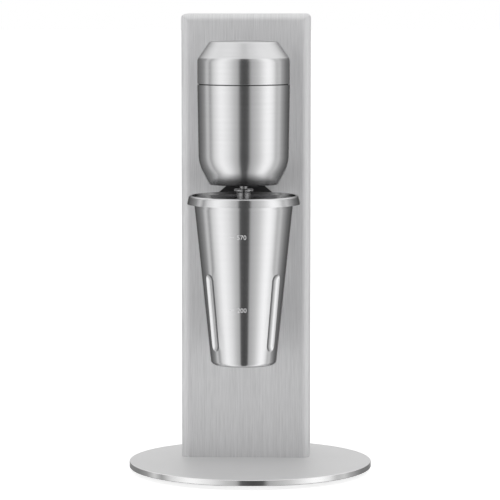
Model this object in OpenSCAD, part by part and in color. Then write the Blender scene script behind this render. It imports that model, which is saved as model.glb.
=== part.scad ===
// Counter-top milkshake mixer: round foot, folded steel column, motor head and hanging cup.
// Millimetres, +Z up, front towards -Y, origin on the counter under the centre of the round base.

/* [Base] */
// Diameter of the round base plate
base_d = 240; // [220:5:300]
// Thickness of the base plate
base_t = 6; // [5:0.5:10]
// Height of the rubber feet below the base plate
foot_h = 4; // [2:0.5:6]
// Diameter of one rubber foot
foot_d = 18; // [12:1:24]
// Diameter of the circle that the feet stand on
foot_circle_d = 184; // [176:2:210]

/* [Column] */
// Width of the column
column_w = 128; // [120:1:140]
// Depth of the column from its front to its rear face
column_depth = 70; // [65:1:80]
// Height of the column above the base plate
column_h = 442; // [440:1:480]
// Radius of the column's front and top edges
column_edge_r = 8.5; // [4:0.5:10]
// Radius of the column's two upper corners, seen from the front
column_corner_r = 4.5; // [3:0.5:8]
// Sideways place of the column's centre line
column_x = -5; // [-8:0.5:8]
// Place of the column's front face
column_front_y = 13.5; // [10:0.5:18]
// Thickness of the steel sheet
sheet_t = 1.5; // [1.5:0.1:1.8]

/* [Head] */
// Distance from the column's front face to the axis of the head and cup
head_reach = 58.3; // [58.3:0.1:64]
// Radius of the head at its seam
head_r = 45; // [44.8:0.1:46]
// Radius of the head where its lower taper ends
head_waist_r = 43.9; // [43.5:0.1:44.3]
// Radius of the head's lower edge
head_edge_r = 33.4; // [32:0.1:34]
// Height of the head's lower edge above the counter
head_bottom_z = 288; // [286:0.2:289]
// Height of the seam between shell and cap
head_seam_z = 384.5; // [384:0.1:386]
// Height of the edge where the cap turns into a cone
cap_crease_z = 410.4; // [408:0.2:411]
// Radius of the flat top of the cap
cap_top_r = 33.4; // [30:0.2:36]
// Height of the flat top of the cap
cap_top_z = 426; // [424:0.5:430]
// Wall thickness of shell and cap
head_wall = 1.5; // [1.2:0.1:1.6]

/* [Cup] */
// Height of the cup's underside above the counter
cup_bottom_z = 112; // [111:0.5:114]
// Height of the cup
cup_h = 165; // [164:0.5:166]
// Radius of the cup's wall carried down to its underside
cup_foot_r = 31.7; // [31:0.1:32]
// Radius gained by the wall for each millimetre of height
cup_slope = 0.1048; // [0.1:0.0001:0.106]
// Thickness of the cup's wall
cup_wall = 0.9; // [0.7:0.1:1]
// Radius of the cup's mouth
mouth_r = 50.3; // [50:0.1:50.6]
// Outer radius of the rolled rim
rim_r = 54.8; // [54.4:0.1:55]
// Angle between the front of the cup and each front flute
flute_angle = 53; // [50:1:62]
// Depth of the flutes pressed into the cup
flute_depth = 2.3; // [1.5:0.1:2.5]

/* [Spindle and motor] */
// Radius of the motor shaft and the spindle rod
shaft_r = 3.7; // [3.5:0.1:4]
// Radius of the collar's flange
flange_r = 9.3; // [8.5:0.1:10]
// Radius of the agitator disc
agitator_r = 14; // [10:0.5:16]
// Radius of the armature
armature_r = 18.6; // [18:0.1:18.8]
// Height of the lamination stack
stack_h = 34; // [30:1:36]

/* [Cord entry] */
// Radius of the hole for the cord in the gland
cord_hole_r = 3.9; // [3.5:0.1:4.5]

/* [Hidden] */
$fn = 72;
eps = 0.01;

// Levels and places that several parts share
plate_top_z = foot_h + base_t;
column_back_y = column_front_y + column_depth;
column_top_z = plate_top_z + column_h;
wall_inner_y = column_front_y + sheet_t;
cover_front_y = column_back_y - sheet_t;
axis_x = column_x;
axis_y = column_front_y - head_reach;
fit_gap = 0.1;
press_gap = 0.05;

// Base
foot_recess = 1;
base_edge = 0.5;
base_screw_dx = 42;
base_screw_dy = 21;
base_screw_y = column_front_y + column_depth / 2;
floor_t = 3;
floor_flange_h = 20;
m5_r = 2.45;
m5_hole_r = 2.7;
m5_head_r = 4.8;
m5_head_h = 2.7;
nut_h = 4;

// Column and rear cover
flange_w = 12;
cover_gap = 0.3;
cover_screw_z = [30, 230, 425];
cover_screw_dx = column_w / 2 - sheet_t - 6;
vent_w = 56;
vent_h = 3.4;
vent_pitch = 9;
vent_count = 6;
vent_low_z = 160;
vent_high_z = 350;

// Neck and its bolts
neck_w = 56;
neck_low_z = 318;
neck_high_z = 382;
neck_bolt_dx = 18;
neck_bolt_z = [330, 370];
wire_hole_r = 6.5;
wire_hole_z = 350;
backing_t = 3;
saddle_t = 4.5;

// Head
taper_tan = 0.525;
taper_blend_r = 36;
taper_corner_z = head_bottom_z + (head_waist_r - head_edge_r) / taper_tan;
lip_r = 29.5;
seam_gap = 0.8;
seam_chamfer = 0.4;
shoulder_r = 10;
shoulder_lean = 26;
spigot_h = 6;
floor_screw_circle_r = 22;

// Motor stack
stack_z = 330;
stack_top_z = stack_z + stack_h;
coil_over = 8;
lower_plate_z = 306;
upper_plate_z = 384;
bracket_t = 3;
bush_r = 8;
bush_h = 9;
stator_r = 34;
stator_bore_r = armature_r + 0.9;
pole_half_w = 16.7;
coil_in_r = 20.5;
coil_out_r = 27.5;
motor_bolt_y = 30.5;
motor_bolt_r = 2;
motor_post_r = 2.9;
slot_count = 12;
commutator_r = 10;
commutator_z = 372.5;
commutator_h = 10;
brush_gap = 0.1;
brush_w = 6;
brush_h = 7;
brush_z = 374;
brush_len = 14;
holder_wall = 1.5;
holder_end_x = 34;
fan_r = 25;
fan_z = 311;
fan_h = 9;
blade_count = 9;

// Spindle
flange_z = 281;
flange_t = 2.3;
hub_r = 6.8;
hub_bottom_z = 262;
rod_joint_z = 274;
rod_bottom_z = 132;
agitator_z = 135;
agitator_t = 2;

// Cup: heights are measured from its underside
cup_fillet_r = 4;
cup_neck_h = 153.5;
lip_arc_h = 157.5;
lip_flat = 0.9;
lip_roll_r = 2.4;
lip_lean = 14;
flute_r = 10;
flute_low_h = 20;
flute_high_h = 83;

// Cup bracket, bumper and sensor
bracket_face_y = axis_y + rim_r + 0.4;
shelf_z = 256;
shelf_top_z = cup_bottom_z + 156.3;
bracket_top_z = 282.3;
bracket_r = 49.8;
upstand_r = 53;
upstand_h = 3;
button_r = 3.5;
button_z = 271.5;
button_nose_y = axis_y + rim_r + 0.4;
button_end_y = 25;
switch_y = button_end_y + 2.5;
bumper_z = 140;
bumper_h = 36;
bumper_w = 32;
screw_r = 1.9;

// Rear switch and cord entry
rocker_z = 110;
rocker_tilt = 7;
rocker_pivot_y = column_back_y - 2.2;
rocker_pin_r = 1.2;
gland_x = column_x - 35;
gland_z = 40;
gland_thread_r = 7.9;
terminal_x = column_x - 37;
terminal_z = 62;

// ---- Shared shapes ----

// Points of an arc, from angle a0 to a1 in n steps
function arc_points(centre, r, a0, a1, n) =
    [for (i = [0:n]) let (a = a0 + (a1 - a0) * i / n) centre + r * [cos(a), sin(a)]];

// Radius of the cup's outer wall at height h above its underside
function cup_r(h) = cup_foot_r + cup_slope * h;

// Radius of the head's shell at height z on its slightly tapered barrel
function barrel_r(z) =
    head_waist_r + (head_r - head_waist_r) * (z - taper_corner_z) / (head_seam_z - taper_corner_z);

module at_axis() {
    translate([axis_x, axis_y, 0]) children();
}

// Copies the children to both sides of the column's centre line
module both_sides(dx) {
    for (side = [-1, 1])
        translate([column_x + side * dx, 0, 0]) children();
}

// Cylinder along +Y from y0 to y1
module y_rod(r, y0, y1) {
    translate([0, y0, 0])
        rotate([-90, 0, 0])
            cylinder(r = r, h = y1 - y0);
}

// Straight round bar between two points
module bar(a, b, r) {
    v = b - a;
    translate(a)
        rotate([0, acos(v.z / norm(v)), atan2(v.y, v.x)])
            cylinder(r = r, h = norm(v));
}

// Round cable that follows a list of points
module cable(points, r) {
    for (i = [1:len(points) - 1])
        bar(points[i - 1], points[i], r);
    for (i = [1:len(points) - 2])
        translate(points[i]) sphere(r = r);
}

// Rectangle standing on y = 0 with its two upper corners rounded
module round_top_rect(w, h, r) {
    translate([-w / 2, 0]) square([w, h - r]);
    translate([r - w / 2, 0]) square([w - 2 * r, h]);
    for (side = [-1, 1])
        translate([side * (w / 2 - r), h - r]) circle(r = r);
}

// Flat slot with round ends, centred
module slot(w, h) {
    square([w - h, h], center = true);
    for (side = [-1, 1])
        translate([side * (w - h) / 2, 0]) circle(d = h);
}

// Screw along +Y: its head starts at y0 and its shank runs forward to y1
module rear_screw(r, head_r, head_h, y0, y1) {
    y_rod(r, y1, y0);
    difference() {
        y_rod(head_r, y0, y0 + head_h);
        translate([0, y0 + head_h * 0.4, 0])
            rotate([-90, 0, 0])
                cylinder(r = head_r * 0.55, h = head_h, $fn = 6);
    }
}

// Coil spring standing on z = 0: closed coils, each stepped to the next by a short link
module coil_spring(r, wire_r, h, turns) {
    pitch = (h - 2 * wire_r) / turns;
    for (i = [0:turns])
        translate([0, 0, wire_r + i * pitch])
            rotate_extrude() translate([r, 0]) circle(r = wire_r);
    for (i = [0:turns - 1])
        rotate(i * 180)
            translate([r, 0, wire_r + i * pitch]) cylinder(r = wire_r * 0.9, h = pitch);
}

// ---- Base ----

module at_feet() {
    for (a = [45:90:315])
        rotate(a) translate([foot_circle_d / 2, 0, 0]) children();
}

module at_base_screws() {
    for (dx = [-1, 1], dy = [-1, 1])
        translate([column_x + dx * base_screw_dx, base_screw_y + dy * base_screw_dy, 0]) children();
}

module base_plate() {
    r = base_d / 2;
    color("gainsboro")
        difference() {
            translate([0, 0, foot_h])
                rotate_extrude()
                    polygon([
                        [0, 0], [r - base_edge, 0], [r, base_edge],
                        [r, base_t - base_edge], [r - base_edge, base_t], [0, base_t]
                    ]);
            at_feet()
                translate([0, 0, foot_h - 1])
                    cylinder(d = foot_d + 2 * fit_gap, h = 1 + foot_recess);
            at_base_screws() {
                cylinder(r = m5_hole_r, h = 2 * plate_top_z);
                translate([0, 0, foot_h - eps])
                    cylinder(r1 = m5_head_r + 0.2, r2 = m5_hole_r, h = m5_head_h);
            }
        }
}

module base_feet() {
    r = foot_d / 2;
    color("dimgray")
        at_feet()
            rotate_extrude()
                polygon([[0, 0], [r - 1, 0], [r, 1], [r, foot_h + foot_recess], [0, foot_h + foot_recess]]);
}

module base_screws() {
    color("silver")
        at_base_screws()
            difference() {
                union() {
                    translate([0, 0, foot_h])
                        cylinder(r1 = m5_head_r, r2 = m5_r, h = m5_head_h);
                    translate([0, 0, foot_h + m5_head_h - eps])
                        cylinder(r = m5_r, h = plate_top_z + floor_t + nut_h + 2 - foot_h - m5_head_h);
                }
                translate([0, 0, foot_h - eps])
                    cylinder(r = 1.8, h = 2, $fn = 6);
            }
}

module base_nuts() {
    color("silver")
        at_base_screws()
            translate([0, 0, plate_top_z + floor_t])
                difference() {
                    cylinder(r = 4.6, h = nut_h, $fn = 6);
                    translate([0, 0, -eps]) cylinder(r = m5_r + press_gap, h = nut_h + 2 * eps);
                }
}

// ---- Column ----

// Solid column block, smaller all round by inset and open-ended downwards and to the rear by extra
module column_block(inset, extra) {
    w = column_w - 2 * inset;
    r = column_edge_r - inset;
    corner_r = column_corner_r - inset;
    depth = column_depth - inset + extra;
    h = column_h - inset + extra;
    translate([column_x, column_front_y + inset, plate_top_z - extra])
        intersection() {
            translate([0, depth, 0])
                rotate([0, 0, 180])
                    linear_extrude(h) round_top_rect(w, depth, r);
            translate([0, depth, 0])
                rotate([90, 0, 0])
                    linear_extrude(depth) round_top_rect(w, h, corner_r);
            translate([-w / 2, 0, 0])
                rotate([90, 0, 90])
                    linear_extrude(w)
                        translate([depth, 0]) round_top_rect(2 * depth, h, r);
        }
}

module column_wall_holes() {
    y0 = column_front_y - 1;
    y1 = wall_inner_y + 1;
    both_sides(neck_bolt_dx)
        for (z = neck_bolt_z)
            translate([0, 0, z]) y_rod(m5_hole_r, y0, y1);
    translate([axis_x, 0, wire_hole_z]) y_rod(wire_hole_r, y0, y1);
    translate([axis_x, 0, button_z]) y_rod(button_r + 0.5, y0, y1);
    at_bracket_screws() y_rod(screw_r + 0.2, y0, y1);
    at_bumper_screws() y_rod(screw_r + 0.2, y0, y1);
}

module at_cover_screws() {
    both_sides(cover_screw_dx)
        for (z = cover_screw_z)
            translate([0, 0, z]) children();
}

module column_shell() {
    flange_y = cover_front_y - sheet_t;
    color("silver")
        difference() {
            union() {
                difference() {
                    column_block(0, 0);
                    column_block(sheet_t, 5);
                }
                for (side = [-1, 1])
                    translate([
                        column_x + side * (column_w / 2 - sheet_t / 2 - flange_w / 2) - flange_w / 2,
                        flange_y, plate_top_z
                    ])
                        cube([flange_w, sheet_t, column_h - column_edge_r]);
            }
            column_wall_holes();
            at_cover_screws() y_rod(1.5, flange_y - 1, cover_front_y + 1);
        }
}

module column_floor() {
    w = column_w - 2 * sheet_t;
    d = column_depth - 3 * sheet_t - 1;
    color("darkgray")
        difference() {
            translate([column_x - w / 2, wall_inner_y, plate_top_z])
                intersection() {
                    difference() {
                        cube([w, d, floor_flange_h]);
                        translate([2, -1, floor_t]) cube([w - 4, d + 2, floor_flange_h]);
                    }
                    translate([w / 2, d, -1])
                        rotate([0, 0, 180])
                            linear_extrude(floor_flange_h + 2)
                                round_top_rect(w, d, column_edge_r - sheet_t);
                }
            at_base_screws()
                translate([0, 0, plate_top_z - 1]) cylinder(r = m5_hole_r, h = floor_t + 2);
        }
}

module rear_cover() {
    w = column_w - 2 * sheet_t - 2 * cover_gap;
    h = column_h - sheet_t - 2 * cover_gap;
    color("darkgray")
        difference() {
            translate([column_x, column_back_y, plate_top_z + cover_gap])
                rotate([90, 0, 0])
                    linear_extrude(sheet_t)
                        round_top_rect(w, h, column_corner_r - sheet_t - cover_gap);
            at_cover_screws() y_rod(1.9, cover_front_y - 1, column_back_y + 1);
            for (z0 = [vent_low_z, vent_high_z], i = [0:vent_count - 1])
                translate([column_x, column_back_y + 1, z0 + i * vent_pitch])
                    rotate([90, 0, 0])
                        linear_extrude(sheet_t + 2) slot(vent_w, vent_h);
            translate([column_x - 7.6, cover_front_y - 1, rocker_z - 10.6])
                cube([15.2, sheet_t + 2, 21.2]);
            translate([gland_x, 0, gland_z])
                y_rod(gland_thread_r + fit_gap, cover_front_y - 1, column_back_y + 1);
        }
}

module rear_cover_screws() {
    color("silver")
        at_cover_screws()
            rear_screw(1.45, 3, 1.8, column_back_y, column_back_y - 9);
}

// ---- Neck between column and head ----

// Outline of the head's shell outside, from its lower edge to the seam
function shell_outline(inset) = concat(
    [[head_edge_r - inset, head_bottom_z]],
    [for (p = blend_points(taper_blend_r - inset * 0.3)) p - [inset, 0]],
    [[head_r - inset, head_seam_z]]
);

// Arc that blends the lower taper into the barrel
function blend_points(r) =
    let (
        lean = atan(taper_tan),
        run = r * tan(lean / 2),
        centre = [head_waist_r - r, taper_corner_z + run]
    )
    arc_points(centre, r, -lean, 0, 8);

module head_solid() {
    outline = shell_outline(0);
    at_axis()
        rotate_extrude()
            polygon(concat([[0, head_bottom_z]], outline, [[0, head_seam_z]]));
}

module at_neck_bolts() {
    both_sides(neck_bolt_dx)
        for (z = neck_bolt_z)
            translate([0, 0, z]) children();
}

module backing_plate() {
    color("darkgray")
        difference() {
            translate([axis_x - 40, wall_inner_y, neck_low_z - 10])
                cube([80, backing_t, neck_high_z - neck_low_z + 20]);
            at_neck_bolts() y_rod(m5_hole_r, wall_inner_y - 1, wall_inner_y + backing_t + 1);
            translate([axis_x, 0, wire_hole_z])
                y_rod(wire_hole_r, wall_inner_y - 1, wall_inner_y + backing_t + 1);
        }
}

module head_neck() {
    color("silver")
        difference() {
            translate([axis_x - neck_w / 2, axis_y + head_edge_r, neck_low_z])
                cube([neck_w, column_front_y - axis_y - head_edge_r, neck_high_z - neck_low_z]);
            head_solid();
            at_neck_bolts() y_rod(m5_hole_r, axis_y, column_front_y + 1);
            translate([axis_x, 0, wire_hole_z]) y_rod(wire_hole_r, axis_y, column_front_y + 1);
        }
}

module neck_bolts() {
    color("dimgray")
        at_neck_bolts()
            rear_screw(m5_r, 4.2, 5, wall_inner_y + backing_t, axis_y + 33.5);
}

module head_saddle() {
    color("darkgray")
        difference() {
            intersection() {
                at_axis()
                    difference() {
                        translate([0, 0, neck_low_z + 2])
                            cylinder(
                                r1 = barrel_r(neck_low_z + 2) - head_wall - 0.15,
                                r2 = barrel_r(neck_high_z) - head_wall - 0.15,
                                h = neck_high_z - neck_low_z - 2
                            );
                        cylinder(r = barrel_r(neck_low_z) - head_wall - saddle_t, h = column_top_z);
                    }
                translate([axis_x - 26, axis_y, neck_low_z])
                    cube([52, 60, neck_high_z - neck_low_z + 5]);
            }
            at_neck_bolts() y_rod(m5_r + press_gap, axis_y, column_front_y);
            translate([axis_x, 0, wire_hole_z]) y_rod(wire_hole_r, axis_y, column_front_y);
        }
}

// ---- Head ----

module head_shell() {
    outer = shell_outline(0);
    inner = shell_outline(head_wall);
    spigot_r = head_r - head_wall - fit_gap;
    color("gainsboro")
        difference() {
            at_axis()
                rotate_extrude()
                    polygon(concat(
                        [[lip_r, head_bottom_z]],
                        outer,
                        [
                            [spigot_r, head_seam_z],
                            [spigot_r, head_seam_z + spigot_h],
                            [spigot_r - 1, head_seam_z + spigot_h],
                            [spigot_r - 1, head_seam_z - 1],
                            [head_r - head_wall, head_seam_z - 2]
                        ],
                        [for (i = [len(inner) - 2:-1:1]) inner[i]],
                        [[head_edge_r - 1, head_bottom_z + head_wall], [lip_r, head_bottom_z + head_wall]]
                    ));
            at_neck_bolts() y_rod(m5_hole_r, axis_y, column_front_y);
            translate([axis_x, 0, wire_hole_z]) y_rod(wire_hole_r, axis_y, column_front_y);
        }
}

module head_cap() {
    low_z = head_seam_z + seam_gap;
    shoulder_centre = [head_r - shoulder_r, cap_crease_z - shoulder_r * sin(shoulder_lean)];
    outer = concat(
        [[head_r - seam_chamfer, low_z], [head_r, low_z + seam_chamfer]],
        arc_points(shoulder_centre, shoulder_r, 0, shoulder_lean, 6),
        [
            [cap_top_r + 0.6, cap_top_z - 1.2],
            [cap_top_r, cap_top_z - 0.5],
            [cap_top_r - 1.2, cap_top_z],
            [cap_top_r / 2, cap_top_z + 0.8],
            [0, cap_top_z + 1.1]
        ]
    );
    inner = [
        [0, cap_top_z - head_wall + 0.6],
        [cap_top_r - 1.6, cap_top_z - head_wall - 0.4],
        [head_r - head_wall - 1, cap_crease_z - 0.6],
        [head_r - head_wall, cap_crease_z - 3.4],
        [head_r - head_wall, low_z]
    ];
    color("gainsboro")
        at_axis()
            rotate_extrude() polygon(concat(outer, inner));
}

module at_floor_screws() {
    at_axis()
        for (a = [30:120:270])
            rotate(a) translate([floor_screw_circle_r, 0, 0]) children();
}

module head_floor() {
    z = head_bottom_z;
    color("dimgray")
        difference() {
            at_axis()
                rotate_extrude()
                    polygon([
                        [8.1, z + 0.6], [lip_r - 0.3, z + 0.6], [lip_r - 0.3, z + head_wall + 0.1],
                        [lip_r + 1.3, z + head_wall + 0.1], [lip_r + 1.3, z + 4], [12, z + 4],
                        [12, z + 7], [8.1, z + 7]
                    ]);
            at_floor_screws()
                translate([0, 0, z]) cylinder(r = 1.8, h = 6);
        }
}

module head_floor_screws() {
    color("silver")
        at_floor_screws() {
            translate([0, 0, head_bottom_z - 0.6]) cylinder(r = 3, h = 1.2);
            translate([0, 0, head_bottom_z]) cylinder(r = 1.5, h = 14);
        }
}

module shaft_seal() {
    z = head_bottom_z;
    color("dimgray")
        at_axis()
            rotate_extrude()
                polygon([
                    [shaft_r + press_gap, z + 3], [6, z + 0.8], [8.05, z + 0.8],
                    [8.05, z + 6.5], [6, z + 6.5], [shaft_r + press_gap, z + 4.2]
                ]);
}

// ---- Motor ----

module at_motor_bolts() {
    at_axis()
        for (side = [-1, 1])
            translate([0, side * motor_bolt_y, 0]) children();
}

module motor_lower_bracket() {
    bush_z = lower_plate_z + bracket_t - bush_h;
    color("silver")
        difference() {
            union() {
                at_axis() {
                    translate([0, 0, lower_plate_z]) cylinder(r = 40, h = bracket_t);
                    translate([0, 0, bush_z - 1]) cylinder(r = bush_r + 4, h = bush_h);
                }
                at_motor_bolts()
                    translate([0, 0, lower_plate_z])
                        cylinder(r = motor_post_r, h = stack_z - lower_plate_z);
                at_floor_screws()
                    translate([0, 0, head_bottom_z + 4])
                        cylinder(r = 3.6, h = lower_plate_z - head_bottom_z - 4 + eps);
            }
            at_axis() {
                translate([0, 0, bush_z]) cylinder(r = bush_r, h = 30);
                translate([0, 0, bush_z - 5]) cylinder(r = shaft_r + 1, h = 10);
                for (a = [0:60:300])
                    rotate(a) translate([24, 0, lower_plate_z - 1]) cylinder(r = 5, h = bracket_t + 2);
            }
            at_motor_bolts()
                translate([0, 0, lower_plate_z - 1]) cylinder(r = motor_bolt_r + fit_gap, h = 40);
            at_floor_screws()
                translate([0, 0, head_bottom_z + 3]) cylinder(r = 1.5, h = 12);
        }
}

module motor_upper_bracket() {
    color("silver")
        difference() {
            union() {
                at_axis() {
                    translate([0, 0, upper_plate_z]) cylinder(r = 38, h = bracket_t);
                    translate([0, 0, upper_plate_z + bracket_t - eps]) cylinder(r = bush_r + 4, h = bush_h);
                }
                at_motor_bolts()
                    translate([0, 0, stack_top_z])
                        cylinder(r = motor_post_r, h = upper_plate_z - stack_top_z + eps);
            }
            at_axis() {
                translate([0, 0, upper_plate_z + bracket_t - 1]) cylinder(r = bush_r, h = bush_h);
                translate([0, 0, upper_plate_z - 1]) cylinder(r = shaft_r + 1, h = 30);
                for (a = [45:90:315])
                    rotate(a) translate([25, 0, upper_plate_z - 1]) cylinder(r = 6, h = bracket_t + 2);
            }
            at_motor_bolts()
                translate([0, 0, stack_top_z - 1]) cylinder(r = motor_bolt_r + fit_gap, h = 40);
        }
}

module motor_bolts() {
    top_z = upper_plate_z + bracket_t;
    color("dimgray")
        at_motor_bolts() {
            translate([0, 0, lower_plate_z - 6])
                cylinder(r = motor_bolt_r, h = top_z - lower_plate_z + 6 + eps);
            translate([0, 0, top_z]) cylinder(r = 3.8, h = 3, $fn = 6);
        }
}

module motor_nuts() {
    color("silver")
        at_motor_bolts()
            translate([0, 0, lower_plate_z - 3.5])
                difference() {
                    cylinder(r = 4, h = 3.5, $fn = 6);
                    translate([0, 0, -1]) cylinder(r = motor_bolt_r + press_gap, h = 6);
                }
}

module bearing_bush(z) {
    color("peru")
        at_axis()
            translate([0, 0, z])
                difference() {
                    cylinder(r = bush_r, h = bush_h - 1);
                    translate([0, 0, -1]) cylinder(r = shaft_r + press_gap, h = bush_h + 2);
                }
}

module lower_bearing() {
    bearing_bush(lower_plate_z + bracket_t - bush_h);
}

module upper_bearing() {
    bearing_bush(upper_plate_z + bracket_t - 1);
}

module stator_core() {
    window_r = coil_out_r + 0.3;
    color("slategray")
        at_axis()
            translate([0, 0, stack_z])
                linear_extrude(stack_h)
                    difference() {
                        intersection() {
                            circle(r = stator_r);
                            square([62, 2 * stator_r], center = true);
                        }
                        circle(r = stator_bore_r);
                        intersection() {
                            circle(r = window_r);
                            for (side = [-1, 1])
                                translate([side * (pole_half_w + window_r / 2), 0])
                                    square([window_r, 2 * window_r], center = true);
                        }
                        for (side = [-1, 1])
                            translate([0, side * motor_bolt_y]) circle(r = motor_bolt_r + fit_gap);
                    }
}

// Winding around one pole: side = -1 is the front pole, 1 the rear pole
module field_coil(side) {
    color("peru")
        at_axis()
            difference() {
                translate([0, 0, stack_z - coil_over])
                    linear_extrude(stack_h + 2 * coil_over)
                        difference() {
                            circle(r = coil_out_r);
                            circle(r = coil_in_r);
                            translate([-50, side > 0 ? -99 : -1]) square(100);
                        }
                translate([-pole_half_w - 0.3, -40, stack_z - 0.3])
                    cube([2 * pole_half_w + 0.6, 80, stack_h + 0.6]);
            }
}

module field_coil_front() {
    field_coil(-1);
}

module field_coil_rear() {
    field_coil(1);
}

// Puts the children, drawn towards +X, on one side of the commutator
module brush_side(side) {
    at_axis() rotate([0, 0, side > 0 ? 0 : 180]) children();
}

module brush_holder(side) {
    x0 = commutator_r + 2;
    z0 = brush_z - holder_wall;
    color("saddlebrown")
        brush_side(side)
            difference() {
                translate([x0, -brush_w / 2 - holder_wall, z0])
                    cube([holder_end_x - x0 + holder_wall, brush_w + 2 * holder_wall, upper_plate_z - z0]);
                translate([x0 - 1, -brush_w / 2 - fit_gap, brush_z - fit_gap])
                    cube([holder_end_x - x0 + 1, brush_w + 2 * fit_gap, brush_h + 2 * fit_gap]);
            }
}

module brush_holder_left() {
    brush_holder(-1);
}

module brush_holder_right() {
    brush_holder(1);
}

module brush(side) {
    x0 = commutator_r - 1;
    color("dimgray")
        brush_side(side)
            difference() {
                translate([x0, -brush_w / 2, brush_z])
                    cube([brush_len + 1, brush_w, brush_h]);
                cylinder(r = commutator_r + brush_gap, h = column_top_z);
            }
}

module brush_left() {
    brush(-1);
}

module brush_right() {
    brush(1);
}

module brush_spring(side) {
    x0 = commutator_r + brush_len + 0.3;
    color("silver")
        brush_side(side)
            translate([x0, 0, brush_z + brush_h / 2])
                rotate([0, 90, 0])
                    coil_spring(2.2, 0.4, holder_end_x - x0 - 0.3, 5);
}

module brush_spring_left() {
    brush_spring(-1);
}

module brush_spring_right() {
    brush_spring(1);
}

// ---- Rotor ----

module motor_shaft() {
    color("silver")
        at_axis()
            translate([0, 0, rod_joint_z])
                cylinder(r = shaft_r, h = upper_plate_z + bracket_t + bush_h - 2 - rod_joint_z);
}

// Places a 2D slot shape at each armature slot
module at_slots() {
    for (i = [0:slot_count - 1])
        rotate(i * 360 / slot_count) children();
}

module armature_core() {
    color("slategray")
        at_axis()
            translate([0, 0, stack_z])
                linear_extrude(stack_h)
                    difference() {
                        circle(r = armature_r);
                        circle(r = shaft_r);
                        at_slots() {
                            translate([10.5, -1.4]) square([6.5, 2.8]);
                            translate([16, -0.6]) square([4, 1.2]);
                        }
                    }
}

module armature_windings() {
    color("peru")
        at_axis() {
            translate([0, 0, stack_z])
                linear_extrude(stack_h)
                    at_slots() translate([10.6, -1.3]) square([6.2, 2.6]);
            for (z = [stack_z - 7, stack_top_z])
                translate([0, 0, z])
                    rotate_extrude()
                        polygon([[6, 0], [15, 0], [17, 2], [17, 5], [15, 7], [6, 7]]);
        }
}

module commutator() {
    color("chocolate")
        at_axis()
            translate([0, 0, commutator_z])
                linear_extrude(commutator_h)
                    difference() {
                        circle(r = commutator_r);
                        circle(r = shaft_r);
                        for (i = [0:2 * slot_count - 1])
                            rotate((i + 0.5) * 180 / slot_count)
                                translate([commutator_r - 1.2, -0.2]) square([2, 0.4]);
                    }
}

module cooling_fan() {
    color("dimgray")
        at_axis()
            translate([0, 0, fan_z])
                difference() {
                    union() {
                        cylinder(r = 8, h = fan_h);
                        intersection() {
                            cylinder(r = fan_r, h = fan_h);
                            for (i = [0:blade_count - 1])
                                rotate(i * 360 / blade_count)
                                    translate([6, 0, fan_h / 2])
                                        rotate([50, 0, 0])
                                            translate([0, -8, -0.7]) cube([fan_r, 16, 1.4]);
                        }
                    }
                    translate([0, 0, -1]) cylinder(r = shaft_r, h = fan_h + 2);
                }
}

module spindle_collar() {
    color("silver")
        at_axis()
            rotate_extrude()
                polygon([
                    [shaft_r, hub_bottom_z], [hub_r - 1, hub_bottom_z], [hub_r, hub_bottom_z + 1],
                    [hub_r, flange_z - 1.5], [hub_r - 0.8, flange_z - 0.8], [hub_r - 0.8, flange_z],
                    [flange_r - 0.3, flange_z], [flange_r, flange_z + 0.3],
                    [flange_r, flange_z + flange_t - 0.3], [flange_r - 0.3, flange_z + flange_t],
                    [shaft_r, flange_z + flange_t]
                ]);
}

module spindle_rod() {
    color("silver")
        at_axis()
            translate([0, 0, rod_bottom_z])
                cylinder(r = shaft_r, h = rod_joint_z - rod_bottom_z);
}

module agitator() {
    lobes = 6;
    color("silver")
        at_axis()
            difference() {
                union() {
                    translate([0, 0, agitator_z])
                        linear_extrude(agitator_t)
                            difference() {
                                circle(r = agitator_r);
                                for (i = [0:lobes - 1])
                                    rotate(i * 360 / lobes)
                                        translate([agitator_r + 1.2, 0]) circle(r = 3);
                            }
                    translate([0, 0, rod_bottom_z]) cylinder(r = 6, h = agitator_z + 6 - rod_bottom_z);
                }
                translate([0, 0, rod_bottom_z - 1]) cylinder(r = shaft_r, h = 20);
            }
}

// ---- Cup ----

// Points of the rolled lip, from the mouth over to its outer edge
function lip_points(inset) = concat(
    [[mouth_r, cup_h - inset]],
    arc_points([mouth_r + lip_flat, cup_h - lip_roll_r], lip_roll_r - inset, 90, lip_lean, 4),
    [[rim_r - inset, lip_arc_h]]
);

// Rounded heel between the cup's underside and wall
function heel_points(r) =
    let (
        lean = atan(cup_slope),
        centre = [cup_r(cup_fillet_r) - cup_fillet_r / cos(lean), cup_fillet_r]
    )
    arc_points(centre, r, -90, -lean, 6);

module cup_outside() {
    skirt_h = 156.6;
    rotate_extrude()
        polygon(concat(
            [[0, 0]],
            heel_points(cup_fillet_r),
            [
                [cup_r(cup_neck_h), cup_neck_h], [cup_r(cup_neck_h) + 1.1, cup_neck_h + 5],
                [mouth_r + 0.1, lip_arc_h + 3.5]
            ],
            [for (i = [1:6]) lip_points(cup_wall)[i]],
            [[rim_r - cup_wall, skirt_h], [rim_r, skirt_h]],
            [for (i = [6:-1:0]) lip_points(0)[i]],
            [[0, cup_h]]
        ));
}

module cup_inside() {
    rotate_extrude()
        polygon(concat(
            [[0, cup_wall]],
            heel_points(cup_fillet_r - cup_wall),
            [
                [cup_r(cup_neck_h) - cup_wall, cup_neck_h],
                [cup_r(cup_neck_h) + 0.4, cup_neck_h + 5.5],
                [mouth_r - 0.5, cup_h - 2.5],
                [mouth_r, cup_h],
                [mouth_r, cup_h + 5],
                [0, cup_h + 5]
            ]
        ));
}

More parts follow.
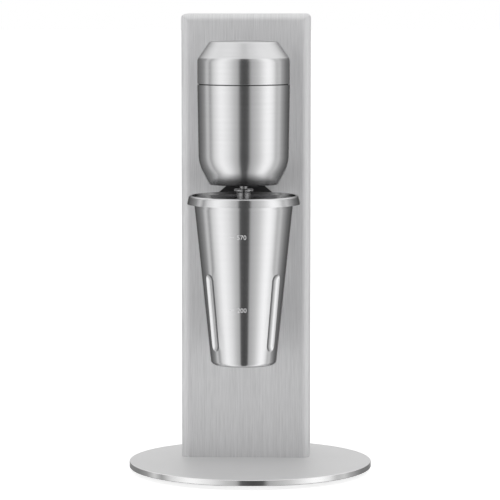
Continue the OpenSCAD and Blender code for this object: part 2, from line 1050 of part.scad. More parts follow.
// Long bar with round ends that presses one flute into the wall
module flute_tool(angle, grow) {
    r = flute_r + grow;
    span = (flute_high_h - flute_low_h) / cos(atan(cup_slope));
    rotate(angle)
        translate([cup_r(flute_low_h) + flute_r - flute_depth, 0, flute_low_h])
            rotate([0, atan(cup_slope), 0])
                rotate_extrude()
                    intersection() {
                        union() {
                            circle(r = r);
                            square([r, span]);
                            translate([0, span]) circle(r = r);
                        }
                        translate([0, -r]) square([r, span + 2 * r]);
                    }
}

module flutes(grow) {
    for (a = [-flute_angle, flute_angle, 180])
        flute_tool(a - 90, grow);
}

module mixing_cup() {
    color("gainsboro")
        translate([axis_x, axis_y, cup_bottom_z])
            difference() {
                cup_outside();
                flutes(0);
                difference() {
                    cup_inside();
                    flutes(cup_wall);
                }
            }
}

// ---- Cup bracket and bumper on the column ----

module at_bracket_screws() {
    both_sides(14) translate([0, 0, shelf_z - 6]) children();
}

module at_bumper_screws() {
    for (z = [bumper_z + 9, bumper_z + bumper_h - 9])
        translate([column_x, 0, z]) children();
}

module cup_bracket() {
    low_z = shelf_z - 14;
    color("dimgray")
        difference() {
            union() {
                translate([axis_x, column_front_y, 0])
                    rotate([90, 0, 0])
                        linear_extrude(column_front_y - bracket_face_y)
                            polygon([
                                [-20, low_z], [20, low_z], [26, shelf_z], [26, bracket_top_z - 6],
                                [19, bracket_top_z], [-19, bracket_top_z],
                                [-26, bracket_top_z - 6], [-26, shelf_z]
                            ]);
                intersection() {
                    translate([axis_x - 26, axis_y, shelf_z])
                        cube([52, column_front_y - axis_y, shelf_top_z + upstand_h - shelf_z]);
                    at_axis() {
                        translate([0, 0, shelf_z]) cylinder(r = 70, h = shelf_top_z - shelf_z);
                        translate([0, 0, shelf_z])
                            cylinder(r = upstand_r, h = shelf_top_z + upstand_h - shelf_z);
                    }
                }
                translate([axis_x - 20, axis_y + 53, low_z])
                    cube([40, column_front_y - axis_y - 53, shelf_z - low_z + eps]);
            }
            at_axis() cylinder(r = bracket_r, h = column_top_z);
            translate([axis_x, 0, button_z]) y_rod(button_r + fit_gap, axis_y, column_front_y + 1);
            at_bracket_screws() y_rod(screw_r, axis_y + 54, column_front_y + 1);
        }
}

module bracket_screws() {
    color("silver")
        at_bracket_screws()
            rear_screw(screw_r - press_gap, 3.5, 2.5, wall_inner_y + 2, axis_y + 54.5);
}

module cup_bumper() {
    h0 = bumper_z - cup_bottom_z;
    color("dimgray")
        difference() {
            translate([axis_x - bumper_w / 2, axis_y + 20, bumper_z])
                cube([bumper_w, column_front_y - axis_y - 20, bumper_h]);
            at_axis()
                translate([0, 0, bumper_z - 5])
                    cylinder(
                        r1 = cup_r(h0 - 5) + 0.4,
                        r2 = cup_r(h0 + bumper_h + 5) + 0.4,
                        h = bumper_h + 10
                    );
            at_bumper_screws() y_rod(screw_r, 0, column_front_y + 1);
        }
}

module bumper_screws() {
    color("silver")
        at_bumper_screws()
            rear_screw(screw_r - press_gap, 3.5, 2.5, wall_inner_y, 1);
}

// ---- Cup sensor ----

module sensor_button() {
    color("dimgray")
        translate([axis_x, 0, button_z]) {
            y_rod(button_r, button_nose_y, wall_inner_y + fit_gap + eps);
            y_rod(5, wall_inner_y + fit_gap, wall_inner_y + 1.6);
            y_rod(2.6, wall_inner_y + 1.5, button_end_y);
        }
}

module button_spring() {
    y0 = wall_inner_y + 1.7;
    color("silver")
        translate([axis_x, y0, button_z])
            rotate([-90, 0, 0])
                coil_spring(3.9, 0.45, switch_y - y0 - 0.2, 5);
}

module switch_bracket() {
    arm_x = 15;
    color("darkgray")
        difference() {
            union() {
                translate([axis_x - 22, wall_inner_y, shelf_z - 14]) cube([44, 2, 44]);
                for (x = [-arm_x - 2, arm_x])
                    translate([axis_x + x, wall_inner_y, button_z - 12]) cube([2, 28, 20]);
            }
            translate([axis_x, 0, button_z]) y_rod(6.5, wall_inner_y - 1, wall_inner_y + 5);
            at_bracket_screws() y_rod(screw_r + 0.2, wall_inner_y - 1, wall_inner_y + 5);
            at_switch_screws() x_rod(1.6, 40);
        }
}

// Cylinder along X, centred
module x_rod(r, length) {
    rotate([0, 90, 0]) cylinder(r = r, h = length, center = true);
}

module at_switch_screws() {
    for (dz = [-8, 4])
        translate([axis_x, switch_y + 6, button_z + dz]) children();
}

module switch_screws() {
    color("silver")
        at_switch_screws() {
            x_rod(1.45, 36);
            translate([18.2, 0, 0]) x_rod(2.8, 2.2);
        }
}

module microswitch_body() {
    color("maroon")
        difference() {
            translate([axis_x - 14.6, switch_y, button_z - 11]) cube([29.2, 11, 18]);
            at_switch_screws() x_rod(1.6, 40);
            translate([axis_x, 0, button_z]) y_rod(1.6, switch_y - 1, switch_y + 6);
        }
}

module microswitch_plunger() {
    color("white")
        translate([axis_x, 0, button_z]) y_rod(1.5, button_end_y + fit_gap, switch_y + 4);
}

// ---- Rear switch, cord entry and wiring ----

module at_rocker_pivot() {
    translate([column_x, rocker_pivot_y, rocker_z]) children();
}

module rocker_frame() {
    color("dimgray")
        difference() {
            union() {
                translate([column_x - 9, column_back_y, rocker_z - 12]) cube([18, 2, 24]);
                translate([column_x - 7.4, column_back_y - 20, rocker_z - 10.4])
                    cube([14.8, 20 + eps, 20.8]);
            }
            translate([column_x - 6.2, rocker_pivot_y - 6, rocker_z - 9.8]) cube([12.4, 12, 19.6]);
            at_rocker_pivot() x_rod(rocker_pin_r + press_gap, 14);
        }
}

module rocker() {
    color("black")
        at_rocker_pivot()
            union() {
                x_rod(rocker_pin_r, 13.6);
                rotate([rocker_tilt, 0, 0])
                    rotate([90, 0, 90])
                        translate([0, 0, -6])
                            linear_extrude(12)
                                polygon([[-3.3, -5], [5.2, -9], [3.8, 0], [5.2, 9], [-3.3, 5]]);
            }
}

module cable_gland() {
    color("dimgray")
        translate([gland_x, 0, gland_z])
            difference() {
                union() {
                    y_rod(gland_thread_r, column_back_y - 11.5, column_back_y + eps);
                    translate([0, column_back_y, 0])
                        rotate([-90, 0, 0])
                            cylinder(r = 10.5, h = 5, $fn = 6);
                    translate([0, column_back_y + 5 - eps, 0])
                        rotate([-90, 0, 0])
                            cylinder(r1 = 8.8, r2 = 6.5, h = 8);
                }
                y_rod(cord_hole_r, column_back_y - 20, column_back_y + 20);
            }
}

module gland_nut() {
    color("dimgray")
        translate([gland_x, 0, gland_z])
            difference() {
                translate([0, cover_front_y - 4, 0])
                    rotate([-90, 0, 0])
                        cylinder(r = 11.5, h = 4, $fn = 6);
                y_rod(gland_thread_r + press_gap, cover_front_y - 5, cover_front_y + 1);
            }
}

module terminal_block() {
    color("white")
        difference() {
            translate([terminal_x - 14, wall_inner_y, terminal_z]) cube([28, 16, 22]);
            for (dx = [-9, 0, 9])
                translate([terminal_x + dx, 0, terminal_z + 6])
                    y_rod(2, wall_inner_y + 10, wall_inner_y + 20);
        }
}

module suppressor_capacitor() {
    color("khaki")
        translate([column_x + 13, wall_inner_y, terminal_z]) cube([26, 15, 18]);
}

module wiring_loom() {
    y = wall_inner_y + 9;
    top = terminal_z + 22;
    riser_x = terminal_x - 3;
    color("dimgray") {
        cable([
            [riser_x, y + 3, top], [riser_x, y + 3, wire_hole_z],
            [axis_x, y + 3, wire_hole_z], [axis_x, axis_y + 37, wire_hole_z]
        ], 2.4);
        cable([
            [terminal_x + 6, y, top], [terminal_x + 6, y, top + 8], [terminal_x + 6, y + 24, top + 8],
            [column_x, y + 24, top + 8], [column_x, y + 24, rocker_z - 4],
            [column_x, column_back_y - 20, rocker_z - 4]
        ], 1.8);
        cable([[terminal_x + 14, y, terminal_z + 10], [column_x + 13, y, terminal_z + 10]], 1.5);
        cable([
            [axis_x, switch_y + 11, button_z - 2], [axis_x, switch_y + 17, button_z - 2],
            [riser_x, switch_y + 17, button_z - 2], [riser_x, y + 3, button_z - 2]
        ], 1.5);
    }
}

base_plate();
base_feet();
base_screws();
base_nuts();
column_floor();
column_shell();
rear_cover();
rear_cover_screws();
backing_plate();
head_neck();
neck_bolts();
head_saddle();
head_shell();
head_cap();
head_floor();
head_floor_screws();
shaft_seal();
motor_lower_bracket();
motor_upper_bracket();
motor_bolts();
motor_nuts();
lower_bearing();
upper_bearing();
stator_core();
field_coil_front();
field_coil_rear();
brush_holder_left();
brush_holder_right();
brush_left();
brush_right();
brush_spring_left();
brush_spring_right();
motor_shaft();
armature_core();
armature_windings();
commutator();
cooling_fan();
spindle_collar();
spindle_rod();
agitator();
mixing_cup();
cup_bracket();
bracket_screws();
cup_bumper();
bumper_screws();
sensor_button();
button_spring();
switch_bracket();
switch_screws();
microswitch_body();
microswitch_plunger();
rocker_frame();
rocker();
cable_gland();
gland_nut();
terminal_block();
suppressor_capacitor();
wiring_loom();
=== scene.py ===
"""Looks of the milkshake mixer: materials, detailed pieces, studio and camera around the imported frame.

Everything is in metres, in the frame of the CAD: +Z up, the front towards -Y, the counter at z = 0.
"""
import math

import bmesh
import bpy
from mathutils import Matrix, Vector


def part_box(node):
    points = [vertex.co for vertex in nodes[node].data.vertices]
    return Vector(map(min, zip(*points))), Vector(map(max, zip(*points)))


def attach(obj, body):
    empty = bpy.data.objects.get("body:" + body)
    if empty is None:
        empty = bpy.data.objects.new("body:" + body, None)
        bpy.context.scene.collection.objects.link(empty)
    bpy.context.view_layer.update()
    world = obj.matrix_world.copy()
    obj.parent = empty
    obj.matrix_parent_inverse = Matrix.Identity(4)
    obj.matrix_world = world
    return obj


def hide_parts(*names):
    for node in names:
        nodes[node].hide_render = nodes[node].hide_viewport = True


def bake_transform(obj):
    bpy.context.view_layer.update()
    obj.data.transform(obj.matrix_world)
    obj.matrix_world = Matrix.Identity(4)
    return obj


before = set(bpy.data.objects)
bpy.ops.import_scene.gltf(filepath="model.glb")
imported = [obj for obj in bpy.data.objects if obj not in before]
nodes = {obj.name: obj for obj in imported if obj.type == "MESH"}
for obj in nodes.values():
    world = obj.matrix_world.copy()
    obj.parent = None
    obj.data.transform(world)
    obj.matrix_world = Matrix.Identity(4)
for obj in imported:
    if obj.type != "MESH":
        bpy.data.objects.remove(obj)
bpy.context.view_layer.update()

MM = 0.001


# ---------------------------------------------------------------- places taken from the frame

def centre(name):
    low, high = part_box(name)
    return (low + high) / 2


AXIS = centre("motor_shaft")
AXIS_FOOT = Vector((AXIS.x, AXIS.y, 0))


# ---------------------------------------------------------------- node helpers

class Graph:
    """A material's or the world's node tree, with short calls for the nodes used here."""

    def __init__(self, tree):
        self.tree = tree

    def node(self, kind, inputs=None, **settings):
        made = self.tree.nodes.new(kind)
        for key, value in settings.items():
            setattr(made, key, value)
        for key, value in (inputs or {}).items():
            self.feed(made.inputs[key], value)
        return made

    def feed(self, socket, value):
        """Links an output to the socket, or sets the socket's own value."""
        if isinstance(value, bpy.types.NodeSocket):
            self.tree.links.new(value, socket)
        else:
            socket.default_value = value

    def math(self, operation, *values):
        made = self.node("ShaderNodeMath", operation=operation)
        for socket, value in zip(made.inputs, values):
            self.feed(socket, value)
        return made.outputs[0]

    def vector(self, operation, *values):
        made = self.node("ShaderNodeVectorMath", operation=operation)
        for socket, value in zip(made.inputs, values):
            self.feed(socket, value)
        return made.outputs["Value" if operation in ("LENGTH", "DOT_PRODUCT") else "Vector"]

    def object_point(self):
        return self.node("ShaderNodeTexCoord").outputs["Object"]

    def split(self, vector):
        return self.node("ShaderNodeSeparateXYZ", {"Vector": vector}).outputs

    def join(self, x, y, z):
        return self.node("ShaderNodeCombineXYZ", {"X": x, "Y": y, "Z": z}).outputs[0]

    def noise(self, vector, scale=1.0, detail=3.0, rough=0.5):
        made = self.node("ShaderNodeTexNoise", {
            "Vector": vector, "Scale": scale, "Detail": detail, "Roughness": rough})
        return made.outputs["Fac"]

    def remap(self, value, low, high, to_low, to_high):
        made = self.node("ShaderNodeMapRange", {
            "Value": value, "From Min": low, "From Max": high, "To Min": to_low, "To Max": to_high})
        return made.outputs[0]

    def tint(self, fac, dark, light):
        made = self.node("ShaderNodeMix", data_type="RGBA")
        self.feed(made.inputs[0], fac)
        self.feed(made.inputs[6], (*dark, 1))
        self.feed(made.inputs[7], (*light, 1))
        return made.outputs[2]

    def bump(self, height, strength, distance):
        inputs = {"Height": height, "Strength": strength, "Distance": distance}
        return self.node("ShaderNodeBump", inputs).outputs[0]


def material(name, metallic, **constants):
    """A new material with a Principled shader whose constant sockets are set on the shader itself."""
    made = bpy.data.materials.new(name)
    made.use_nodes = True
    graph = Graph(made.node_tree)
    shader = made.node_tree.nodes["Principled BSDF"]
    shader.inputs["Metallic"].default_value = metallic
    for key, value in constants.items():
        shader.inputs[key.replace("_", " ")].default_value = value
    return made, graph, shader


def grey(value):
    return (value, value, value * 1.01)


# ---------------------------------------------------------------- metals

def spun_steel(name, tone, rough, grain, stretch=1.0, edge=1.0, shade=None):
    """Steel turned on a lathe: fine rings round the motor's axis, highlights drawn out along the profile.

    edge is how much of its shine the metal keeps where it turns away from the eye.
    shade(graph, arm, radius) may give a factor of painted shade that darkens the base colour in hidden
    places.
    """
    made, g, shader = material(name, 1.0, Anisotropic=stretch, Specular_Tint=(edge, edge, edge, 1))
    point = g.object_point()
    arm = g.vector("SUBTRACT", point, tuple(AXIS_FOOT))
    x, y, z = g.split(arm)
    radius = g.math("POWER", g.math("ADD", g.math("MULTIPLY", x, x), g.math("MULTIPLY", y, y)), 0.5)
    along = g.math("ADD", z, radius)
    rings = g.noise(g.join(g.math("MULTIPLY", x, 14), g.math("MULTIPLY", y, 14),
                           g.math("MULTIPLY", along, 2600)), detail=2.0)
    bands = g.noise(g.join(g.math("MULTIPLY", x, 5), g.math("MULTIPLY", y, 5),
                           g.math("MULTIPLY", along, 260)), detail=3.0)
    wear = g.noise(point, 22.0, 4.0)
    streak = g.math("ADD", g.math("MULTIPLY", rings, 0.6), g.math("MULTIPLY", bands, 0.4))
    brightness = g.remap(streak, 0.3, 0.7, tone - grain, tone + grain)
    # Painted shade: the shade factor darkens the base colour in hidden places
    if shade:
        brightness = g.math("MULTIPLY", brightness, shade(g, arm, radius))
    g.feed(shader.inputs["Base Color"],
           g.join(brightness, brightness, g.math("MULTIPLY", brightness, 1.01)))
    g.feed(shader.inputs["Roughness"],
           g.math("ADD", g.remap(streak, 0.25, 0.75, rough - 0.03, rough + 0.03),
                  g.remap(wear, 0.3, 0.7, -0.015, 0.02)))
    g.feed(shader.inputs["Normal"], g.bump(rings, 0.05, 0.00002))
    g.feed(shader.inputs["Tangent"], arm)
    return made


def painted_gap_shade(graph, arm, radius):
    """Painted shade: a darker base colour in the narrow gap between the head's shell and cap."""
    low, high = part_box("head_cap")
    head_r = (high.x - low.x) / 2
    is_above = graph.math("GREATER_THAN", graph.split(arm)[2], low.z - 1.0 * MM)
    is_deep = graph.math("LESS_THAN", radius, head_r - 0.9 * MM)
    gap_shade_mask = graph.math("MULTIPLY", is_above, is_deep)
    return graph.math("SUBTRACT", 1, graph.math("MULTIPLY", 0.92, gap_shade_mask))


def painted_inside_shade(graph, arm, radius):
    """Painted shade: a duller, darker base colour where the surface faces the cup's own axis, on the inside
    of the cup.
    """
    normal = graph.node("ShaderNodeTexCoord").outputs["Normal"]
    x, y, _ = graph.split(arm)
    outward = graph.vector("DOT_PRODUCT", normal, graph.join(x, y, 0.0))
    facing = graph.math("DIVIDE", outward, radius)
    return graph.remap(facing, -0.6, -0.1, 0.5, 1.0)


def base_steel(name, top, tone):
    """The base: a satin top with fine turned rings, and a mirror-polished edge below it."""
    made, g, shader = material(name, 0.6)
    point = g.object_point()
    x, y, z = g.split(point)
    radius = g.math("POWER", g.math("ADD", g.math("MULTIPLY", x, x), g.math("MULTIPLY", y, y)), 0.5)
    rings = g.noise(g.join(g.math("MULTIPLY", radius, 1800), 0.0, 0.0), detail=3.0)
    cloud = g.noise(point, 14.0, 4.0)
    is_top = g.math("GREATER_THAN", z, top - 0.0003)
    shade = g.math("ADD", g.math("MULTIPLY", rings, 0.5), g.math("MULTIPLY", cloud, 0.5))
    brightness = g.math("ADD", g.remap(is_top, 0, 1, 0.86, tone), g.remap(shade, 0.3, 0.7, -0.02, 0.02))
    g.feed(shader.inputs["Base Color"], g.join(brightness, brightness, brightness))
    g.feed(shader.inputs["Metallic"], g.remap(is_top, 0, 1, 1.0, 0.4))
    satin = g.remap(rings, 0.3, 0.7, 0.34, 0.42)
    g.feed(shader.inputs["Roughness"],
           g.math("ADD", g.math("MULTIPLY", is_top, satin),
                  g.math("MULTIPLY", g.math("SUBTRACT", 1, is_top), g.remap(cloud, 0.3, 0.7, 0.07, 0.13))))
    g.feed(shader.inputs["Normal"], g.bump(rings, 0.06, 0.00002))
    return made


def brushed_sheet(name, tone, rough, grain, stretch=1.0, metallic=1.0):
    """Sheet steel brushed upright: fine scratches of many lengths, and highlights drawn out across them."""
    made, g, shader = material(name, metallic, Anisotropic=stretch)
    x, y, z = g.split(g.object_point())
    normal_x = g.split(g.node("ShaderNodeTexCoord").outputs["Normal"])[0]
    is_side = g.math("GREATER_THAN", g.math("ABSOLUTE", normal_x), 0.7)
    across = g.math("ADD", x, g.math("MULTIPLY", y, is_side))
    scratches = []
    for per_metre, lengths in ((1500, 55), (620, 16), (90, 3)):
        u = g.math("MULTIPLY", across, per_metre)
        scratches.append(g.noise(g.join(u, 0.0, g.math("MULTIPLY", z, lengths)), detail=2.0))
    streak = g.math("ADD", g.math("MULTIPLY", scratches[0], 0.45),
                    g.math("ADD", g.math("MULTIPLY", scratches[1], 0.4),
                           g.math("MULTIPLY", scratches[2], 0.15)))
    g.feed(shader.inputs["Base Color"],
           g.tint(g.remap(streak, 0.36, 0.64, 0, 1), grey(tone - grain), grey(tone + grain)))
    g.feed(shader.inputs["Roughness"], g.remap(streak, 0.3, 0.7, rough - 0.05, rough + 0.05))
    g.feed(shader.inputs["Normal"], g.bump(streak, 0.15, 0.00006))
    g.feed(shader.inputs["Tangent"], g.join(1.0, 1.0, 0.0))
    return made


def rough_metal(name, colour, rough, cell, depth, metallic=1.0):
    """Cast, plated or wound metal: a mottled tone and an even, grainy surface."""
    made, g, shader = material(name, metallic)
    point = g.object_point()
    mottle = g.noise(point, 1 / cell, 5.0, 0.6)
    cloud = g.noise(point, 0.12 / cell, 3.0)
    dark = tuple(c * 0.82 for c in colour)
    light = tuple(min(1, c * 1.12) for c in colour)
    blend = g.math("ADD", g.math("MULTIPLY", mottle, 0.5), g.math("MULTIPLY", cloud, 0.5))
    g.feed(shader.inputs["Base Color"], g.tint(blend, dark, light))
    g.feed(shader.inputs["Roughness"], g.remap(mottle, 0.3, 0.7, rough - 0.07, rough + 0.07))
    g.feed(shader.inputs["Normal"], g.bump(mottle, 0.35, depth))
    return made


def lined_metal(name, colour, rough, pitch, depth):
    """Metal built up in even horizontal layers, such as laminations or close turns of wire."""
    made, g, shader = material(name, 1.0)
    point = g.object_point()
    height = g.split(point)[2]
    wave = g.math("SINE", g.math("MULTIPLY", height, 2 * math.pi / pitch))
    stain = g.noise(point, 90.0, 4.0)
    dark = tuple(c * 0.55 for c in colour)
    shade = g.math("ADD", g.remap(wave, -1, 1, 0.1, 0.7), g.remap(stain, 0.3, 0.7, -0.1, 0.3))
    g.feed(shader.inputs["Base Color"], g.tint(shade, dark, colour))
    g.feed(shader.inputs["Roughness"], g.remap(stain, 0.3, 0.7, rough - 0.06, rough + 0.08))
    g.feed(shader.inputs["Normal"], g.bump(wave, 0.5, depth))
    return made


# ---------------------------------------------------------------- plastics and rubber

def moulded(name, colour, rough, grain=0.0006, depth=0.00003, coat=0.0):
    """Moulded plastic: a fine spark-eroded grain, slight tone drift and rubbed, shinier patches."""
    made, g, shader = material(name, 0.0, Coat_Weight=coat)
    point = g.object_point()
    texture = g.noise(point, 1 / grain, 2.0)
    rubbed = g.noise(point, 30.0, 4.0)
    dark = tuple(c * 0.85 for c in colour)
    light = tuple(min(1, c * 1.15 + 0.004) for c in colour)
    g.feed(shader.inputs["Base Color"], g.tint(rubbed, dark, light))
    g.feed(shader.inputs["Roughness"],
           g.math("ADD", g.remap(rubbed, 0.3, 0.7, rough - 0.06, rough + 0.05),
                  g.remap(texture, 0.3, 0.7, -0.02, 0.02)))
    g.feed(shader.inputs["Normal"], g.bump(texture, 0.4, depth))
    return made


def make_finishes():
    """One finish for each kind of surface."""
    return {
        "base": base_steel("polished_base_steel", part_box("base_plate")[1].z, 0.84),
        "column": brushed_sheet("brushed_column_steel", 0.82, 0.50, 0.07, stretch=0.8, metallic=0.7),
        "rear": brushed_sheet("brushed_rear_steel", 0.70, 0.48, 0.06, stretch=0.8, metallic=0.85),
        # The head's shell gets painted shade in the gap under its cap
        "head": spun_steel("spun_head_steel", 0.80, 0.22, 0.03, stretch=0.75, edge=0.35,
                           shade=painted_gap_shade),
        "cap": spun_steel("spun_cap_steel", 0.80, 0.22, 0.03, stretch=0.75, edge=0.6),
        # The cup gets painted shade on its inside
        "cup": spun_steel("spun_cup_steel", 0.80, 0.17, 0.02, stretch=0.8, edge=0.35,
                          shade=painted_inside_shade),
        "etched": rough_metal("etched_mark_steel", (0.86, 0.86, 0.87), 0.60, 0.0004, 0.00002,
                              metallic=0.5),
        "ground": spun_steel("ground_spindle_steel", 0.66, 0.24, 0.02),
        "screw": rough_metal("plated_screw_steel", (0.55, 0.55, 0.57), 0.34, 0.0008, 0.00002),
        "spring": rough_metal("drawn_spring_steel", (0.45, 0.45, 0.47), 0.30, 0.0006, 0.00001),
        "lamination": lined_metal("stacked_lamination_steel", (0.38, 0.39, 0.41), 0.45, 0.0005, 0.00008),
        "zinc": rough_metal("zinc_plated_sheet", (0.58, 0.60, 0.61), 0.42, 0.004, 0.00001),
        "cast": rough_metal("cast_aluminium", (0.62, 0.62, 0.63), 0.46, 0.0009, 0.00005),
        "bronze": rough_metal("sintered_bronze", (0.60, 0.40, 0.20), 0.48, 0.0005, 0.00003),
        "copper": lined_metal("enamelled_copper_wire", (0.60, 0.24, 0.09), 0.28, 0.0006, 0.00015),
        "bars": lined_metal("commutator_copper", (0.80, 0.42, 0.26), 0.26, 0.0011, 0.00001),
        "carbon": moulded("pressed_carbon", (0.035, 0.035, 0.037), 0.62, 0.0004),
        "black": moulded("black_moulded_plastic", (0.018, 0.018, 0.019), 0.42),
        "gloss": moulded("gloss_black_plastic", (0.012, 0.012, 0.013), 0.16, 0.0012, 0.00001, coat=0.4),
        "brown": moulded("brown_phenolic", (0.16, 0.07, 0.035), 0.40),
        "dark": moulded("dark_switch_plastic", (0.045, 0.045, 0.05), 0.35),
        "white": moulded("white_nylon", (0.78, 0.77, 0.72), 0.38),
        "yellow": moulded("yellow_film_case", (0.74, 0.55, 0.10), 0.32),
        "rubber": moulded("black_rubber", (0.022, 0.022, 0.023), 0.72, 0.0009, 0.00006),
    }


FINISH_OF = {
    "base": ["base_plate"],
    "column": ["column_shell"],
    "rear": ["rear_cover"],
    "head": ["head_shell"],
    "cap": ["head_cap"],
    "cup": ["mixing_cup"],
    "ground": ["motor_shaft", "spindle_collar", "spindle_rod", "agitator"],
    "screw": ["base_screws", "base_nuts", "rear_cover_screws", "neck_bolts", "head_floor_screws",
              "motor_bolts", "motor_nuts", "bracket_screws", "bumper_screws", "switch_screws"],
    "spring": ["brush_spring_left", "brush_spring_right", "button_spring"],
    "lamination": ["stator_core", "armature_core"],
    "zinc": ["column_floor", "backing_plate", "switch_bracket"],
    "cast": ["head_neck", "head_saddle", "motor_lower_bracket", "motor_upper_bracket"],
    "bronze": ["lower_bearing", "upper_bearing"],
    "copper": ["field_coil_front", "field_coil_rear", "armature_windings"],
    "bars": ["commutator"],
    "carbon": ["brush_left", "brush_right"],
    "black": ["head_floor", "cooling_fan", "cup_bracket", "sensor_button", "rocker_frame",
              "cable_gland", "gland_nut"],
    "gloss": ["rocker"],
    "brown": ["brush_holder_left", "brush_holder_right"],
    "dark": ["microswitch_body"],
    "white": ["microswitch_plunger", "terminal_block"],
    "yellow": ["suppressor_capacitor"],
    "rubber": ["base_feet", "shaft_seal", "cup_bumper", "wiring_loom"],
}


def paint(obj, finish):
    obj.data.materials.clear()
    obj.data.materials.append(finish)


def paint_cad_nodes(finishes):
    for kind, names in FINISH_OF.items():
        for name in names:
            paint(nodes[name], finishes[kind])


# ---------------------------------------------------------------- detailed pieces

def add_piece(name, mesh, finish):
    """A new piece with a finish in its material slot. The volume marks' caller attaches them to the cup; the
    springs stay unattached.
    """
    piece = bpy.data.objects.new(name, mesh)
    bpy.context.scene.collection.objects.link(piece)
    paint(piece, finish)
    return piece


def tube_mesh(name, path, radius, sides):
    """A round wire swept along a path of points, closed at both ends."""
    bm = bmesh.new()
    rings = []
    for index, point in enumerate(path):
        ahead = path[min(index + 1, len(path) - 1)]
        behind = path[max(index - 1, 0)]
        along = (ahead - behind).normalized()
        side = along.cross(Vector((0.31, 0.52, 0.79))).normalized()
        up = side.cross(along)
        ring = []
        for step in range(sides):
            turn = 2 * math.pi * step / sides
            ring.append(bm.verts.new(point + radius * (math.cos(turn) * side + math.sin(turn) * up)))
        rings.append(ring)
    for one, other in zip(rings, rings[1:]):
        for step in range(sides):
            bm.faces.new((one[step], one[step - 1], other[step - 1], other[step]))
    bm.faces.new(rings[0])
    bm.faces.new(reversed(rings[-1]))
    bmesh.ops.recalc_face_normals(bm, faces=bm.faces)
    return finished_mesh(name, bm)


def finished_mesh(name, bm, smooth=True):
    mesh = bpy.data.meshes.new(name)
    bm.to_mesh(mesh)
    bm.free()
    for face in mesh.polygons:
        face.use_smooth = smooth
    return mesh


SPRING_WIRE_R = 0.3 * MM
STEPS_PER_TURN = 24

# CAD node, axis it lies along, live turns, node that pushes it, that node's body
SPRINGS = (
    ("brush_spring_left", 0, 6, "brush_left", "brush_left"),
    ("brush_spring_right", 0, 6, "brush_right", "brush_right"),
    ("button_spring", 1, 5, "sensor_button", "button"),
)


def helix_path(low, high, axis, turns):
    """Points of a coil that fills the box from low to high along axis, with a flat dead turn at each end."""
    mid = (low + high) / 2
    length = high[axis] - low[axis] - 2 * SPRING_WIRE_R
    side_a, side_b = [k for k in range(3) if k != axis]
    coil_r = (high[side_a] - low[side_a]) / 2 - SPRING_WIRE_R
    path = []
    for index in range((turns + 2) * STEPS_PER_TURN + 1):
        share = min(max(index / STEPS_PER_TURN - 1, 0), turns) / turns
        turn = 2 * math.pi * index / STEPS_PER_TURN
        point = Vector((0, 0, 0))
        point[axis] = low[axis] + SPRING_WIRE_R + share * length
        point[side_a] = mid[side_a] + coil_r * math.cos(turn)
        point[side_b] = mid[side_b] + coil_r * math.sin(turn)
        path.append(point)
    return path


def coiled_spring(node, axis, turns, pusher, finish):
    """A helical spring in the space of its CAD node, squeezed between the stand and what pushes it.

    The end nearer the node called pusher is worked out, but the coil is not attached to that node's body and
    stays where it is.
    """
    low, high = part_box(node)
    name = node + "_helix"
    coil = tube_mesh(name, helix_path(low, high, axis, turns), SPRING_WIRE_R, 8)
    piece = add_piece(name, coil, finish)
    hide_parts(node)
    near, far = sorted((low[axis], high[axis]), key=lambda end: abs(end - centre(pusher)[axis]))
    moving_end = (low + high) / 2
    fixed_end = moving_end.copy()
    moving_end[axis] = near
    fixed_end[axis] = far
    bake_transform(piece)


# ---- volume marks on the cup

# The cup's cone, as in part.scad
CUP_FLOOR_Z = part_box("mixing_cup")[0].z
CUP_FOOT_R = 31.7 * MM
CUP_SLOPE = 0.1048

# Height above the cup's underside at which it holds about that many millilitres
MARKS = ((127.7 * MM, "570"), (56.6 * MM, "200"))
MARK_RELIEF = 0.22 * MM
NUMBER_SIZE = 6.2 * MM
NUMBER_LEFT = -5.2 * MM
LINE_LEFT = -13.0
LINE_PIECES = 6
LINE_PIECE_LENGTH = 0.8
LINE_HALF_WIDTH = 0.35


def wrap_on_cup(flat, height, relief):
    """Point of the cup's wall for a flat drawing point: x runs round the wall and y up it."""
    z = height + flat.y
    radius = CUP_FOOT_R + CUP_SLOPE * z + relief
    turn = flat.x / (CUP_FOOT_R + CUP_SLOPE * height)
    return Vector((AXIS.x + radius * math.sin(turn), AXIS.y - radius * math.cos(turn), CUP_FLOOR_Z + z))


def number_outline(text, size, left):
    """Flat filled mesh of a number, its left end at x = left and its middle at y = 0."""
    curve = bpy.data.curves.new("number", "FONT")
    curve.body = text
    curve.size = size
    curve.resolution_u = 3
    made = bpy.data.objects.new("number", curve)
    bpy.context.scene.collection.objects.link(made)
    bpy.context.view_layer.update()
    bm = bmesh.new()
    bm.from_mesh(made.to_mesh())
    bpy.data.objects.remove(made)
    bmesh.ops.translate(bm, verts=bm.verts, vec=(left, -0.36 * size, 0))
    return bm


def add_line(bm):
    """The mark's line, in short faces so that it can bend round the wall. Its sizes are in millimetres."""
    for k in range(LINE_PIECES):
        x0 = (LINE_LEFT + LINE_PIECE_LENGTH * k) * MM
        x1 = x0 + LINE_PIECE_LENGTH * MM
        low, high = -LINE_HALF_WIDTH * MM, LINE_HALF_WIDTH * MM
        corners = ((x0, low), (x1, low), (x1, high), (x0, high))
        bm.faces.new([bm.verts.new((x, y, 0)) for x, y in corners])


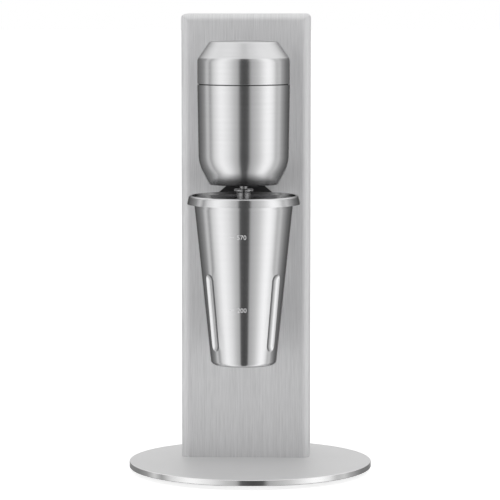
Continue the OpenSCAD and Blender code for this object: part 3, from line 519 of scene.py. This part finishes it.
def add_volume_marks(finish):
    """A short line and a number, stood slightly proud of the wall, at each marked volume."""
    for height, text in MARKS:
        bm = number_outline(text, NUMBER_SIZE, NUMBER_LEFT)
        add_line(bm)
        bmesh.ops.remove_doubles(bm, verts=bm.verts, dist=0.00001)
        grown = bmesh.ops.extrude_face_region(bm, geom=bm.faces[:])
        proud = {v for v in grown["geom"] if isinstance(v, bmesh.types.BMVert)}
        for vert in bm.verts:
            vert.co = wrap_on_cup(vert.co, height, MARK_RELIEF if vert in proud else -MARK_RELIEF)
        bmesh.ops.recalc_face_normals(bm, faces=bm.faces)
        name = "cup_mark_" + text
        mark = add_piece(name, finished_mesh(name, bm, smooth=False), finish)
        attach(mark, "cup")


def add_pieces(finishes):
    for node, axis, turns, pusher, pusher_body in SPRINGS:
        coiled_spring(node, axis, turns, pusher, finishes["spring"])
    add_volume_marks(finishes["etched"])


# ---------------------------------------------------------------- studio

# Brightness of the studio seen in a level mirror, by bearing in degrees: 0 is the front, plus is right
STUDIO = [
    (-180, 0.30), (-166, 0.30), (-156, 0.24), (-130, 0.24), (-114, 0.34), (-101, 0.70), (-91, 0.36),
    (-80, 0.76), (-61, 1.06), (-52, 1.07), (-36, 0.88), (-21, 0.60), (-11, 0.47), (-7, 0.10),
    (4, 0.075), (14, 0.095), (19, 0.45), (32, 0.58), (40, 0.68), (48, 0.85), (56, 1.02), (65, 1.14),
    (73, 1.10), (83, 0.90), (92, 0.55), (103, 0.66), (112, 0.42), (132, 0.22), (156, 0.20),
    (166, 0.30), (180, 0.30),
]
TOP_LIGHT_FRONT = 0.84
TOP_LIGHT_REAR = 1.0
BACKDROP = 1.0
FLOOR_SIZE = 60
FLOOR_GLOW = 0.6

# Fitted to the photograph's view
CAMERA_PLACE = (0.0822, -2.7822, 0.4763)
CAMERA_DIP = 0.092
CAMERA_TURN = 0.0296
CAMERA_LENS = 203.5


def make_world():
    """A tent of soft light: bright panels left and right, a dark gap in front, white above and below."""
    world = bpy.data.worlds.new("studio")
    bpy.context.scene.world = world
    world.use_nodes = True
    tree = world.node_tree
    g = Graph(tree)
    x, y, z = g.split(g.node("ShaderNodeTexCoord").outputs["Generated"])
    bearing = g.math("ARCTAN2", x, g.math("MULTIPLY", y, -1))
    ramp = g.node("ShaderNodeValToRGB", {"Fac": g.remap(bearing, -math.pi, math.pi, 0, 1)})
    stops = ramp.color_ramp.elements
    while len(stops) < len(STUDIO):
        stops.new(1.0)
    brightest = max(level for _, level in STUDIO)
    for stop, (degrees, level) in zip(stops, STUDIO):
        stop.position = (degrees + 180) / 360
        stop.color = (level / brightest,) * 3 + (1,)
    panels = g.math("MULTIPLY", ramp.outputs["Color"], brightest)
    rearward = g.math("ADD", z, g.math("MULTIPLY", y, 0.4))
    overhead = g.math("MAXIMUM", g.remap(rearward, 0.50, 0.80, 0, 1), g.remap(z, -0.95, -0.99, 0, 1))
    top_light = g.remap(y, -0.15, 0.25, TOP_LIGHT_FRONT, TOP_LIGHT_REAR)
    level = g.math("ADD", g.math("MULTIPLY", panels, g.math("SUBTRACT", 1, overhead)),
                   g.math("MULTIPLY", overhead, top_light))
    seen = g.node("ShaderNodeLightPath").outputs["Is Camera Ray"]
    shown = g.math("ADD", g.math("MULTIPLY", level, g.math("SUBTRACT", 1, seen)),
                   g.math("MULTIPLY", seen, BACKDROP))
    background = tree.nodes["Background"]
    g.feed(background.inputs["Strength"], shown)
    background.inputs["Color"].default_value = (1, 1, 1, 1)


def make_floor():
    """A plain white table top that fades into the backdrop."""
    bpy.ops.mesh.primitive_plane_add(size=FLOOR_SIZE)
    floor = bpy.context.object
    floor.name = "studio_floor"
    made, _, shader = material("studio_floor", 0.0, Roughness=0.9)
    shader.inputs["Base Color"].default_value = (0.85, 0.85, 0.85, 1)
    shader.inputs["Emission Color"].default_value = (1, 1, 1, 1)
    shader.inputs["Emission Strength"].default_value = FLOOR_GLOW
    paint(floor, made)
    floor.visible_glossy = False


def make_camera():
    """Just above the top of the column and a little to the right, 2.8 m in front, through a long lens."""
    data = bpy.data.cameras.new("camera")
    data.sensor_width = 36
    data.lens = CAMERA_LENS
    data.clip_end = 200
    camera = bpy.data.objects.new("camera", data)
    bpy.context.scene.collection.objects.link(camera)
    camera.location = CAMERA_PLACE
    camera.rotation_euler = (math.pi / 2 - CAMERA_DIP, 0, CAMERA_TURN)
    bpy.context.scene.camera = camera


bpy.context.scene.view_settings.view_transform = "Standard"
finishes = make_finishes()
paint_cad_nodes(finishes)
add_pieces(finishes)
make_world()
make_floor()
make_camera()
